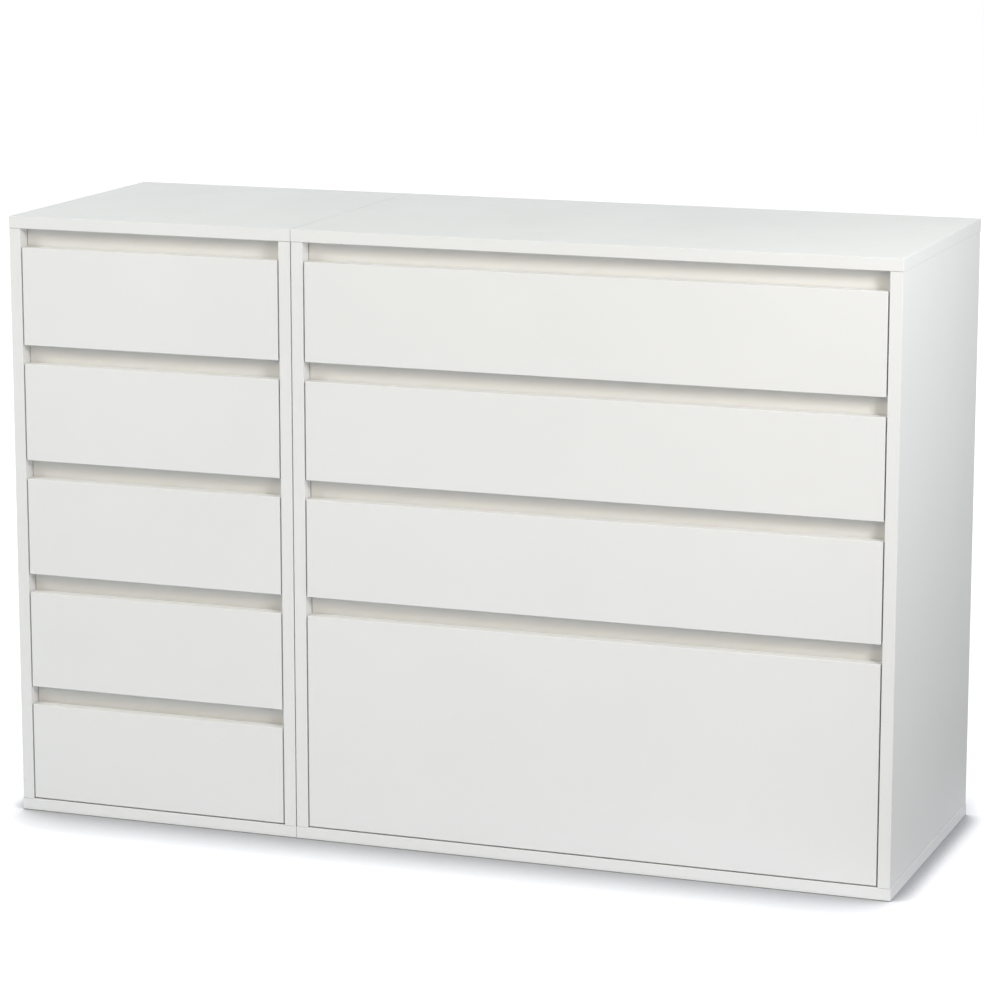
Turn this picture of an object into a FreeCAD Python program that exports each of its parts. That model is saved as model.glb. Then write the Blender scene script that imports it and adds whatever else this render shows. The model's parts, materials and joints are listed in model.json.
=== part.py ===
"""Scrapbook paper drawers: a narrow and a wide drawer cabinet of white melamine board, bolted side by side.

Units are millimetres. X runs to the right, Y runs from the front to the back and Z up. The origin is in the middle
of the footprint, on the floor. The narrow cabinet is on the left and holds five equal drawers. The wide one holds
three of the same height and a deep one at the bottom. Each drawer is a slab front on a box of thin boards that
runs on a pair of three-part telescopic slides.
"""
import FreeCAD, Part
import math
import os

# ---- cabinets ----
narrow_w = 400.0            # narrow cabinet, outside
wide_w = 800.0              # wide cabinet, outside
cabinet_d = 412.0           # front edges to rear edges
panel_t = 16.0              # top, base and side panels
arris = 0.5                 # the edge banding's corners are planed off by this much
side_inset = 0.7            # the top and the base reach this far past the side panels

# ---- fronts and the gaps around them ----
row_count = 5               # rows of single height from top to bottom
narrow_rows = (1, 1, 1, 1, 1)
wide_rows = (1, 1, 1, 2)
front_h = 129.0             # a front of single height
front_t = 16.0
grip_gap = 25.0             # open height above each front, for the fingers
side_gap = 2.0              # front to cabinet side
foot_gap = 2.0              # lowest front to base panel

# ---- fixed rails behind the grip gaps ----
rail_t = 16.0
rail_clear = 4.0            # back of a front to the rail's face
rail_lap = 8.0              # a rail's reach behind the fronts above and below its gap

# ---- back panels, held in grooves ----
back_t = 3.0
back_inset = 9.0            # rear edges to the back panel
back_groove_d = 6.0
groove_clear = 0.2          # a groove is this much wider than its panel

# ---- drawer boxes ----
box_board_t = 12.0
box_arris = 1.5             # broken top edges of the box boards
box_clear = 4.0             # box to the rails above and below
box_back_clear = 34.0       # box to the cabinet's back panel
bottom_t = 3.0
bottom_rise = 9.0           # lower edge of the box to its bottom panel
bottom_groove_d = 6.0

# ---- telescopic slides ----
slide_w = 13.0              # cabinet side to box side
slide_h = 45.0
slide_steel = 1.2           # sheet thickness
slide_lip = 3.4             # height of a turned-in lip, from the outside of its flange
slide_play = 0.5            # lip to the next channel inside it
slide_web_gap = 1.2         # web to web, and web to the end of a facing flange
slide_open_edge = 3.2       # outer channel's flanges end this far from the box
slide_bend_r = 2.0          # outside of a rolled corner
slide_front_gap = 2.0       # back of the front to the slide's front end
slide_mid_short = 4.0       # the middle channel stops this far inside the others at each end
window_count = 3            # windows along a middle channel's web
window_l = 40.0
window_w = 9.0
slide_rise = 52.5           # lower edge of the box to the middle of its slides

# ---- bolts that join the two cabinets ----
bolt_shank_r = 2.5
bolt_sleeve_r = 4.0
bolt_head_r = 7.0
bolt_head_t = 2.4
bolt_head_edge = 0.8        # bevelled rim of a head
bolt_fit = 0.2              # radial clearance of a sleeve in its hole, and of a shank in its sleeve
bolt_key_af = 4.0           # hexagon key across its flats
bolt_key_d = 1.8
bolt_inset = 120.0          # front edges to the bolts
bolt_rows = (1, 4)          # the rows whose grip gaps the bolts are level with, from the top

# ---- worked out from the sizes above ----
pitch = front_h + grip_gap
opening_h = foot_gap + row_count * pitch
cabinet_h = opening_h + 2 * panel_t
x_left = -(narrow_w + wide_w) / 2
x_seam = x_left + narrow_w
x_right = x_seam + wide_w
y_front = -cabinet_d / 2
y_rear = cabinet_d / 2
y_rail = y_front + front_t + rail_clear
y_box = y_front + front_t
y_back = y_rear - back_inset - back_t
box_l = y_back - box_back_clear - y_box
z_floor = panel_t
z_ceiling = cabinet_h - panel_t
y_slide = y_box + slide_front_gap
slide_l = box_l - slide_front_gap
slide_travel = slide_l

os.makedirs("parts", exist_ok=True)


def block(x0, x1, y0, y1, z0, z1):
    """A board between two corners."""
    return Part.makeBox(x1 - x0, y1 - y0, z1 - z0, FreeCAD.Vector(x0, y0, z0))


def lies_on(edge, axis, value):
    """True if both ends of an edge have this coordinate; axis is 0, 1 or 2."""
    return all(abs(v.Point[axis] - value) < 1e-6 for v in edge.Vertexes)


def edges_on(solid, lines):
    """Straight edges where pairs of planes meet: each line is (axis, value, axis, value)."""
    return [e for e in solid.Edges
            if any(lies_on(e, a, va) and lies_on(e, b, vb) for a, va, b, vb in lines)]


def bevelled(board, width, *lines):
    """The board with these edges planed off."""
    return board.makeChamfer(width, edges_on(board, lines))


def save(node, solids):
    """Write one named sub-part, made of one or more separate solids."""
    shape = Part.makeCompound(solids) if len(solids) > 1 else solids[0]
    shape.exportStep("parts/" + node + ".step")


# ---- cabinets ----

def back_panel(x0, x1):
    """Thin back that stands in grooves all round; x0 and x1 are the outer faces of the cabinet's sides."""
    reach = back_groove_d - groove_clear
    return block(x0 + panel_t - reach, x1 - panel_t + reach, y_back, y_back + back_t,
                 z_floor - reach, z_ceiling + reach)


def back_groove(x0, x1):
    """The space that the four grooves leave for the back panel."""
    return block(x0 + panel_t - back_groove_d, x1 - panel_t + back_groove_d,
                 y_back, y_back + back_t + groove_clear,
                 z_floor - back_groove_d, z_ceiling + back_groove_d)


def lying_panel(x0, x1, z0):
    """Top or base panel over the sides, which it passes a little at both ends, with a groove for the back."""
    z1 = z0 + panel_t
    left = x0 - side_inset
    right = x1 + side_inset
    panel = block(left, right, y_front, y_rear, z0, z1)
    panel = bevelled(panel, arris, (1, y_front, 2, z0), (1, y_front, 2, z1), (1, y_rear, 2, z1),
                     (0, left, 1, y_front), (0, right, 1, y_front), (0, left, 2, z1), (0, right, 2, z1))
    return panel.cut(back_groove(x0, x1))


def standing_panel(x0, cab_x0, cab_x1, bolted=False):
    """Side panel between the base and the top, with a groove for the back and holes if it is bolted."""
    x1 = x0 + panel_t
    panel = block(x0, x1, y_front, y_rear, z_floor, z_ceiling)
    panel = bevelled(panel, arris, (0, x0, 1, y_front), (0, x1, 1, y_front), (0, x0, 1, y_rear), (0, x1, 1, y_rear))
    panel = panel.cut(back_groove(cab_x0, cab_x1))
    if bolted:
        for y, z in bolt_places():
            panel = panel.cut(rod(bolt_sleeve_r + bolt_fit, x0, x1, y, z))
    return panel


def cabinet(name, x0, x1, joined):
    """The five panels of one cabinet; joined is the side that is bolted to the other cabinet."""
    save(name + "_top", [lying_panel(x0, x1, z_ceiling)])
    save(name + "_base", [lying_panel(x0, x1, 0.0)])
    save(name + "_side_left", [standing_panel(x0, x0, x1, bolted=joined == "left")])
    save(name + "_side_right", [standing_panel(x1 - panel_t, x0, x1, bolted=joined == "right")])
    save(name + "_back", [back_panel(x0, x1)])


# ---- rows ----

def row_places(rows):
    """Lower and upper edge of each front, from the top row down; a row of 2 spans the gap between two."""
    top = z_ceiling
    places = []
    for units in rows:
        low = top - units * pitch
        places.append((low, top - grip_gap))
        top = low
    return places


def rails(x0, x1, rows):
    """Fixed rails behind the grip gaps, between the side panels."""
    made = []
    for low, high in row_places(rows):
        gap_top = high + grip_gap
        upper = min(gap_top + rail_lap, z_ceiling)
        rail = block(x0 + panel_t, x1 - panel_t, y_rail, y_rail + rail_t, high - rail_lap, upper)
        made.append(bevelled(rail, arris, (1, y_rail, 2, high - rail_lap), (1, y_rail + rail_t, 2, high - rail_lap)))
    return made


# ---- bolts ----

def rod(radius, x0, x1, y, z):
    """Round bar along X."""
    return Part.makeCylinder(radius, x1 - x0, FreeCAD.Vector(x0, y, z), FreeCAD.Vector(1, 0, 0))


def bolt_places():
    """Y and Z of each bolt."""
    highs = [row_places(narrow_rows)[row][1] for row in bolt_rows]
    return [(y_front + bolt_inset, high + grip_gap / 2) for high in highs]


def bolt_head(x_face, outward, y, z):
    """Low round head on a panel's inner face, with a hexagon for the key; outward is +1 or -1 along X."""
    x_end = x_face + outward * bolt_head_t
    head = rod(bolt_head_r, min(x_face, x_end), max(x_face, x_end), y, z)
    rim = [e for e in head.Edges if len(e.Vertexes) == 1 and lies_on(e, 0, x_end)]
    head = head.makeChamfer(bolt_head_edge, rim)
    corner = bolt_key_af / 3 ** 0.5
    spots = [FreeCAD.Vector(x_end, y, z) + FreeCAD.Rotation(FreeCAD.Vector(1, 0, 0), 60 * k).multVec(
        FreeCAD.Vector(0, corner, 0)) for k in range(6)]
    key = Part.Face(Part.makePolygon(spots + spots[:1])).extrude(FreeCAD.Vector(-outward * bolt_key_d, 0, 0))
    return head.cut(key)


def joining_bolts():
    """A sleeve nut from the narrow side and a screw from the wide side, at each place."""
    made = []
    x_nut = x_seam - side_inset - panel_t
    x_screw = x_seam + side_inset + panel_t
    x_meet = x_screw - panel_t / 4
    for y, z in bolt_places():
        sleeve = rod(bolt_sleeve_r, x_nut, x_meet, y, z).fuse(bolt_head(x_nut, -1, y, z))
        sleeve = sleeve.cut(rod(bolt_shank_r + bolt_fit, x_nut + bolt_fit, x_meet, y, z))
        screw = rod(bolt_shank_r, x_nut + panel_t / 2, x_screw, y, z).fuse(bolt_head(x_screw, 1, y, z))
        made += [sleeve.removeSplitter(), screw.removeSplitter()]
    return made


# ---- slides ----

def channel(web_u, open_u, half_h, y0, length):
    """Rolled steel channel along Y: a web at web_u and flanges with turned-in lips that end at open_u.

    u is the distance from the cabinet side towards the drawer box.
    """
    way = 1 if open_u > web_u else -1
    inner_u = web_u + way * slide_steel
    lip_u = open_u - way * slide_steel
    half = [(web_u, half_h), (open_u, half_h), (open_u, half_h - slide_lip), (lip_u, half_h - slide_lip),
            (lip_u, half_h - slide_steel), (inner_u, half_h - slide_steel)]
    outline = half + [(u, -v) for u, v in reversed(half)]
    spots = [FreeCAD.Vector(u, y0, v) for u, v in outline]
    bar = Part.Face(Part.makePolygon(spots + spots[:1])).extrude(FreeCAD.Vector(0, length, 0))
    bends = edges_on(bar, [(0, web_u, 2, half_h), (0, web_u, 2, -half_h)])
    bar = bar.makeFillet(slide_bend_r, bends)
    inner_h = half_h - slide_steel
    return bevelled(bar, slide_bend_r - slide_steel, (0, inner_u, 2, inner_h), (0, inner_u, 2, -inner_h))


def pair(bar, x0, x1, z):
    """Two handed copies of a bar drawn at the origin, on the inner faces of a cabinet's sides."""
    left = bar.copy()
    left.translate(FreeCAD.Vector(x0 + panel_t, 0, z))
    right = bar.mirror(FreeCAD.Vector(0, 0, 0), FreeCAD.Vector(1, 0, 0))
    right.translate(FreeCAD.Vector(x1 - panel_t, 0, z))
    return [left, right]


def outer_channel():
    """Screwed to the cabinet side."""
    return channel(0.0, slide_w - slide_open_edge, slide_h / 2, y_slide, slide_l)


def window(u, y):
    """Cutter for a window in a web at u: a slot along Y whose round ends are three flats."""
    radius = window_w / 2
    turns = [math.radians(angle) for angle in (90, 30, -30, -90)]
    reach = window_l / 2 - radius
    end = [(reach + radius * math.cos(turn), radius * math.sin(turn)) for turn in turns]
    outline = end + [(-along, -across) for along, across in end]
    spots = [FreeCAD.Vector(u, y + along, across) for along, across in outline]
    return Part.Face(Part.makePolygon(spots + spots[:1])).extrude(FreeCAD.Vector(slide_steel, 0, 0))


def middle_channel():
    """Runs inside the outer channel and carries the inner one; its web has windows that save weight."""
    half_h = slide_h / 2 - slide_lip - slide_play
    web_u = slide_steel + slide_web_gap
    open_u = slide_w - slide_steel - slide_web_gap / 2
    length = slide_l - 2 * slide_mid_short
    bar = channel(web_u, open_u, half_h, y_slide + slide_mid_short, length)
    for number in range(window_count):
        share = (number + 0.5) / window_count
        bar = bar.cut(window(web_u, y_slide + slide_mid_short + share * length))
    return bar


def inner_channel():
    """Screwed to the drawer box, with its open side towards the cabinet."""
    half_h = slide_h / 2 - 2 * (slide_lip + slide_play)
    open_u = 2 * (slide_steel + slide_web_gap)
    return channel(slide_w, open_u, half_h, y_slide, slide_l)


# ---- drawers ----

def slab_front(x0, x1, low, high):
    """Handleless front, flush with the cabinet's front edges."""
    left = x0 + panel_t + side_gap
    right = x1 - panel_t - side_gap
    slab = block(left, right, y_front, y_box, low, high)
    return bevelled(slab, arris, (1, y_front, 2, low), (1, y_front, 2, high),
                    (1, y_front, 0, left), (1, y_front, 0, right))


def box_limits(x0, x1, low, high):
    """Outer corners of a drawer box behind a front."""
    inset = panel_t + slide_w
    return (x0 + inset, x1 - inset, y_box, y_box + box_l,
            low + rail_lap + box_clear, high - rail_lap - box_clear)


def bottom_panel(limits):
    """Thin bottom that slides into the grooves from behind and runs under the back board."""
    left, right, front, rear, low, high = limits
    reach = box_board_t - bottom_groove_d + groove_clear
    return block(left + reach, right - reach, front + reach, rear, low + bottom_rise, low + bottom_rise + bottom_t)


def box_boards(limits):
    """Two sides, an inner front and a back board; the back board stands on the bottom panel."""
    left, right, front, rear, low, high = limits
    reach = box_board_t - bottom_groove_d
    groove = block(left + reach, right - reach, front + reach, rear,
                   low + bottom_rise, low + bottom_rise + bottom_t + groove_clear)
    made = []
    for x in (left, right - box_board_t):
        side = block(x, x + box_board_t, front, rear, low, high)
        side = bevelled(side, box_arris, (0, x, 2, high), (0, x + box_board_t, 2, high))
        made.append(side.cut(groove))
    inner_left = left + box_board_t
    inner_right = right - box_board_t
    inner_front = block(inner_left, inner_right, front, front + box_board_t, low, high)
    inner_front = bevelled(inner_front, box_arris, (1, front + box_board_t, 2, high))
    made.append(inner_front.cut(groove))
    back = block(inner_left, inner_right, rear - box_board_t, rear, low + bottom_rise + bottom_t, high)
    made.append(bevelled(back, box_arris, (1, rear - box_board_t, 2, high), (1, rear, 2, high)))
    return made


def drawer(name, x0, x1, low, high):
    """All that slides out with one front, and the middle channels that follow it."""
    limits = box_limits(x0, x1, low, high)
    z_slide = limits[4] + slide_rise
    save(name + "_front", [slab_front(x0, x1, low, high)])
    save(name + "_box", box_boards(limits))
    save(name + "_bottom", [bottom_panel(limits)])
    save(name + "_inner_channels", pair(inner_channel(), x0, x1, z_slide))
    save(name + "_middle_channels", pair(middle_channel(), x0, x1, z_slide))
    return pair(outer_channel(), x0, x1, z_slide)


# ---- the whole piece of furniture ----

outer_channels = []
for name, end0, end1, joined, rows in (("narrow", x_left, x_seam, "right", narrow_rows),
                                       ("wide", x_seam, x_right, "left", wide_rows)):
    x0 = end0 + side_inset
    x1 = end1 - side_inset
    cabinet(name, x0, x1, joined)
    save(name + "_rails", rails(x0, x1, rows))
    for number, (low, high) in enumerate(row_places(rows), start=1):
        outer_channels += drawer(name + "_drawer_" + str(number), x0, x1, low, high)
save("outer_channels", outer_channels)
save("joining_bolts", joining_bolts())
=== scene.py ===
"""Looks of the scrapbook paper drawers: white board, rolled steel slides, their small parts, a plain studio.

Units are metres, in the same frame as the CAD part: X to the right, Y from the front to the back, Z up.
"""
import bmesh
import bpy
import json
import math
from mathutils import Matrix, Vector

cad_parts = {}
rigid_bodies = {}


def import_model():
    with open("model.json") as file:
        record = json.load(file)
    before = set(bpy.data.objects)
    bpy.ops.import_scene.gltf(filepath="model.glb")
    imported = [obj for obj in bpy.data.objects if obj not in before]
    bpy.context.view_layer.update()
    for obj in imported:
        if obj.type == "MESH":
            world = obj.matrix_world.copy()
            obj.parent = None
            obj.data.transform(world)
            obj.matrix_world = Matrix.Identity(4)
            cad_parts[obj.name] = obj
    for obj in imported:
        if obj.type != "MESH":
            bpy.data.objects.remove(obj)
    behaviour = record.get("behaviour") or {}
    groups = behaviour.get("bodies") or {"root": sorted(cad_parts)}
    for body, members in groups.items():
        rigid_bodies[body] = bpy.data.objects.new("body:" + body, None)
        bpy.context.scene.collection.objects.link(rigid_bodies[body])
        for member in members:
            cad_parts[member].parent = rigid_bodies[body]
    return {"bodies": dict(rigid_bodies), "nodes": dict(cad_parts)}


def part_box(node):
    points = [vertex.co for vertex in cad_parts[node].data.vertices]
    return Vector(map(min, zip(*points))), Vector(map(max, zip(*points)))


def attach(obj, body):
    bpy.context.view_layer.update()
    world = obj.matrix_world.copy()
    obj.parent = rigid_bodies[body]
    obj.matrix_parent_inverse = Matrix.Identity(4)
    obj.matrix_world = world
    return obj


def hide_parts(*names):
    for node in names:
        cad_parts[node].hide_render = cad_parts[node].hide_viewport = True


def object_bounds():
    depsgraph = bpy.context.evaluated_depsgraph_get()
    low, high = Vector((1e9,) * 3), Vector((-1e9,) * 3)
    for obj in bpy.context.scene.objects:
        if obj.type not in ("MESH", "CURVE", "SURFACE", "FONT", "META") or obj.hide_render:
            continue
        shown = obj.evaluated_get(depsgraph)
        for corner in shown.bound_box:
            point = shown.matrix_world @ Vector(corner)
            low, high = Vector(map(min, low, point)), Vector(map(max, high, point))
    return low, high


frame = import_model()
cad_low, cad_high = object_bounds()

MM = 0.001                      # one millimetre
FRONT_Y = cad_low.y             # plane of the fronts and of the cabinets' front edges
BAND_T = 1.0 * MM               # edge banding
LINE_HALF_W = 0.22 * MM         # of the glue line behind it
DRAWERS = sorted(name for name in frame["bodies"] if "_drawer_" in name and not name.endswith("_runners"))


# ---- small helpers for shader nodes ----

def feed(tree, source, target):
    """An output's wire, or a plain value, put into an input."""
    if isinstance(source, bpy.types.NodeSocket):
        tree.links.new(source, target)
    else:
        target.default_value = source


def place(tree, kind, wired=(), **values):
    """A node of this kind; values set its properties, and wired holds (input, output or number) pairs."""
    node = tree.nodes.new(kind)
    for name, value in values.items():
        setattr(node, name, value)
    for name, source in wired:
        feed(tree, source, node.inputs[name])
    return node


def reckon(tree, operation, first, second=0.0, third=0.0, clamp=False):
    """Output of a Math node."""
    terms = ((0, first), (1, second), (2, third))
    return place(tree, "ShaderNodeMath", terms, operation=operation, use_clamp=clamp).outputs[0]


def stretch(tree, value, low, high, to_low=0.0, to_high=1.0, smooth=True):
    """A value moved from one range to another, clamped."""
    node = place(tree, "ShaderNodeMapRange", (("Value", value), ("From Min", low), ("From Max", high),
                                              ("To Min", to_low), ("To Max", to_high)))
    node.interpolation_type = "SMOOTHSTEP" if smooth else "LINEAR"
    return node.outputs["Result"]


def tint(tree, factor, first, second):
    """Output of a colour mix; colours are outputs or three numbers."""
    node = place(tree, "ShaderNodeMix", data_type="RGBA")
    sockets = {socket.identifier: socket for socket in node.inputs}
    for name, source in (("Factor_Float", factor), ("A_Color", first), ("B_Color", second)):
        feed(tree, (*source, 1.0) if isinstance(source, tuple) else source, sockets[name])
    return next(socket for socket in node.outputs if socket.identifier == "Result_Color")


def noise(tree, vector, scale, detail=2.0, roughness=0.5):
    """Value of a noise texture."""
    node = place(tree, "ShaderNodeTexNoise", (("Vector", vector), ("Scale", scale), ("Detail", detail),
                                              ("Roughness", roughness)))
    return node.outputs["Fac"]


NOISE_LOW, NOISE_HIGH = 0.3, 0.7    # most of a noise's values lie between these


def spread(tree, value, to_low=0.0, to_high=1.0):
    """A noise's value moved to a range."""
    return stretch(tree, value, NOISE_LOW, NOISE_HIGH, to_low, to_high)


def scaled(tree, vector, scale):
    """Coordinates scaled by a Mapping node."""
    return place(tree, "ShaderNodeMapping", (("Vector", vector), ("Scale", scale))).outputs[0]


def effect(name, inputs, outputs):
    """A shader node group with (name, default) inputs and named outputs; returns it and its inner sockets."""
    group = bpy.data.node_groups.new(name, "ShaderNodeTree")
    for label, value in inputs:
        socket = group.interface.new_socket(name=label, in_out="INPUT", socket_type="NodeSocketFloat")
        socket.default_value = value
    for label in outputs:
        group.interface.new_socket(name=label, in_out="OUTPUT", socket_type="NodeSocketFloat")
    return group, group.nodes.new("NodeGroupInput").outputs, group.nodes.new("NodeGroupOutput").inputs


def use(tree, group, **values):
    """An effect placed in a material with its own values or wires; spaces in their names are written as _."""
    node = place(tree, "ShaderNodeGroup", node_tree=group)
    for name, source in values.items():
        feed(tree, source, node.inputs[name.replace("_", " ")])
    return node.outputs


# ---- effects shared by the materials ----

def make_board_face():
    """Melamine face: a fine pearl emboss, broad faint clouding of the paper and slight changes of gloss."""
    group, given, made = effect("board_face", (("Pearl size", 1.1 * MM), ("Cloud size", 350.0 * MM)),
                                ("Cloud", "Pearl", "Gloss"))
    where = place(group, "ShaderNodeTexCoord").outputs["Object"]
    pearl_scale = reckon(group, "DIVIDE", 1.0, given["Pearl size"])
    cloud_scale = reckon(group, "DIVIDE", 1.0, given["Cloud size"])
    pearl = noise(group, where, pearl_scale, detail=2.0, roughness=0.55)
    feed(group, stretch(group, pearl, 0.35, 0.65), made["Pearl"])
    feed(group, noise(group, where, cloud_scale, detail=3.0, roughness=0.5), made["Cloud"])
    patches = scaled(group, where, (9.0, 7.0, 11.0))
    feed(group, noise(group, patches, 1.0, detail=5.0, roughness=0.6), made["Gloss"])
    return group


def make_edge_wear():
    """Worn line along a board's or a pressing's outer corners, broken up by a noise."""
    group, given, made = effect("edge_wear", (("Reach", 1.2 * MM), ("Break up", 0.5)), ("Mask",))
    bent = place(group, "ShaderNodeBevel", (("Radius", given["Reach"]),), samples=4).outputs["Normal"]
    flat = place(group, "ShaderNodeNewGeometry").outputs["True Normal"]
    agree = place(group, "ShaderNodeVectorMath", ((0, bent), (1, flat)), operation="DOT_PRODUCT")
    edge = stretch(group, agree.outputs["Value"], 0.999, 0.90)
    where = place(group, "ShaderNodeTexCoord").outputs["Object"]
    patchy = stretch(group, noise(group, where, 38.0, detail=4.0, roughness=0.65), 0.42, 0.68)
    kept = reckon(group, "MULTIPLY_ADD", reckon(group, "SUBTRACT", patchy, 1.0), given["Break up"], 1.0)
    feed(group, reckon(group, "MULTIPLY", edge, kept, clamp=True), made["Mask"])
    return group


def make_dust():
    """Fine dust that settles on upward faces and in corners."""
    group, given, made = effect("dust", (("Amount", 0.3), ("Corner reach", 20.0 * MM)), ("Mask",))
    coordinates = place(group, "ShaderNodeTexCoord").outputs
    up = place(group, "ShaderNodeSeparateXYZ", ((0, coordinates["Normal"]),)).outputs["Z"]
    lying = stretch(group, up, 0.4, 0.95)
    shelter = place(group, "ShaderNodeAmbientOcclusion", (("Distance", given["Corner reach"]),), samples=4,
                    only_local=True).outputs["AO"]
    corner = stretch(group, shelter, 0.95, 0.45)
    drift = stretch(group, noise(group, coordinates["Object"], 60.0, detail=6.0, roughness=0.7), 0.45, 0.75)
    speck = stretch(group, noise(group, coordinates["Object"], 900.0, detail=1.0), 0.62, 0.74)
    flecks = reckon(group, "MULTIPLY_ADD", speck, 0.6, drift)
    settled = reckon(group, "MULTIPLY", lying, flecks)
    gathered = reckon(group, "MULTIPLY_ADD", corner, 0.5, settled)
    feed(group, reckon(group, "MULTIPLY", gathered, given["Amount"], clamp=True), made["Mask"])
    return group


def make_groove_dirt_and_shade():
    """Painted shade, with some dirt, in the fine grooves where the eased edges of two boards meet."""
    group, given, made = effect("groove_dirt_and_shade", (("Width", 1.2 * MM), ("Depth", 0.8)), ("Mask",))
    shelter = place(group, "ShaderNodeAmbientOcclusion", (("Distance", given["Width"]),), samples=6)
    sunk = stretch(group, shelter.outputs["AO"], 0.93, 0.62)
    feed(group, reckon(group, "MULTIPLY", sunk, given["Depth"], clamp=True), made["Mask"])
    return group


def make_band_line():
    """Glue line of the edge banding, just behind the front edges of the boards."""
    group, given, made = effect("band_line", (("Front", FRONT_Y), ("Thickness", BAND_T)), ("Line",))
    where = place(group, "ShaderNodeTexCoord").outputs["Object"]
    depth = reckon(group, "SUBTRACT", place(group, "ShaderNodeSeparateXYZ", ((0, where),)).outputs["Y"],
                   given["Front"])
    away = reckon(group, "ABSOLUTE", reckon(group, "SUBTRACT", depth, given["Thickness"]))
    feed(group, stretch(group, away, LINE_HALF_W, 0.0), made["Line"])
    return group


def make_rolled_steel():
    """Rolling lines along Y, clouding of the plating and fine rubbed scratches."""
    group, given, made = effect("rolled_steel", (("Line spacing", 0.6 * MM), ("Cloud size", 30.0 * MM)),
                                ("Lines", "Cloud", "Scratches"))
    where = place(group, "ShaderNodeTexCoord").outputs["Object"]
    line_scale = reckon(group, "DIVIDE", 1.0, given["Line spacing"])
    lines = noise(group, scaled(group, where, (1.0, 0.008, 1.0)), line_scale, detail=3.0, roughness=0.6)
    cloud_scale = reckon(group, "DIVIDE", 1.0, given["Cloud size"])
    feed(group, lines, made["Lines"])
    feed(group, noise(group, where, cloud_scale, detail=4.0, roughness=0.6), made["Cloud"])
    rubbed = noise(group, scaled(group, where, (1.0, 0.02, 0.7)), 2600.0, detail=1.0)
    feed(group, stretch(group, rubbed, 0.66, 0.74), made["Scratches"])
    return group


def make_mesh_print():
    """Imprint of the press screen on hardboard: a fine square weave in the plane of two directions."""
    group, given, made = effect("mesh_print", (("Across", 0.0), ("Along", 0.0), ("Pitch", 1.6 * MM)),
                                ("Height",))
    turn = reckon(group, "DIVIDE", 2 * math.pi, given["Pitch"])
    waves = [reckon(group, "SINE", reckon(group, "MULTIPLY", given[name], turn))
             for name in ("Across", "Along")]
    feed(group, reckon(group, "MULTIPLY_ADD", reckon(group, "ADD", *waves), 0.25, 0.5), made["Height"])
    return group


BOARD_FACE = make_board_face()
EDGE_WEAR = make_edge_wear()
DUST = make_dust()
BAND_LINE = make_band_line()
GROOVE_DIRT_AND_SHADE = make_groove_dirt_and_shade()
ROLLED_STEEL = make_rolled_steel()
MESH_PRINT = make_mesh_print()


# ---- materials ----

# a finish, the colour that its clouding reaches and, where it is rubbed, that of its corners
BOARD_COLOURS = (0.845, 0.843, 0.832), (0.825, 0.824, 0.815), (0.70, 0.69, 0.66)
# the rails' melamine is painted warmer and darker than the boards', as painted shade for the warm shade in
# the grip gaps behind the fronts
RAIL_SHADED_COLOURS = (0.835, 0.824, 0.792), (0.816, 0.806, 0.776), (0.69, 0.67, 0.63)
FOIL_COLOURS = (0.830, 0.828, 0.815), (0.810, 0.808, 0.795), (0.68, 0.66, 0.62)
LACQUER_COLOURS = (0.82, 0.815, 0.80), (0.79, 0.785, 0.765)
FIBRE_BROWN = (0.60, 0.57, 0.52)
DUST_GREY = (0.52, 0.50, 0.47)
GLUE_GREY = (0.50, 0.49, 0.46)
# colour of the painted shade, with some dirt, in the grooves between boards
GROOVE_DIRT_AND_SHADE_COLOUR = (0.16, 0.155, 0.15)
SLIDE_COLOURS = (0.62, 0.63, 0.65), (0.53, 0.545, 0.57), (0.74, 0.74, 0.74)
SCREW_COLOURS = (0.66, 0.665, 0.68), (0.58, 0.59, 0.60), (0.78, 0.78, 0.78)
NICKEL_COLOURS = (0.66, 0.65, 0.62), (0.60, 0.59, 0.56), (0.78, 0.77, 0.74)
PLASTIC_BLACK = (0.022, 0.023, 0.025)
RUBBER_BLACK = (0.028, 0.027, 0.026)
RUBBED_BLACK = (0.11, 0.11, 0.115)
DUSTY_BLACK = (0.30, 0.29, 0.27)

# how strongly each of these shows in a finish, from 0 to 1
GLUE_SHOWS = 0.22
FIBRES_SHOW = 0.12
LINES_SHOW = 0.25
SCRATCHES_SHOW = 0.35
SPECKS_SHOW = 0.4
BOARD_WEAR_SHOWS = 0.10
WEAR_SHOWS = 0.5
DUST_DULLS = 0.3


def new_material(name):
    """An empty material with a Principled surface; returns the material, its tree and the surface node."""
    material = bpy.data.materials.new(name)
    material.use_nodes = True
    tree = material.node_tree
    tree.nodes.clear()
    surface = tree.nodes.new("ShaderNodeBsdfPrincipled")
    output = tree.nodes.new("ShaderNodeOutputMaterial")
    feed(tree, surface.outputs[0], output.inputs["Surface"])
    return material, tree, surface


def raise_surface(tree, surface, height, distance):
    """Fine relief; distance is how far a height of 1 stands out."""
    relief = place(tree, "ShaderNodeBump", (("Height", height), ("Distance", distance), ("Strength", 1.0)))
    feed(tree, relief.outputs[0], surface.inputs["Normal"])


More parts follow.
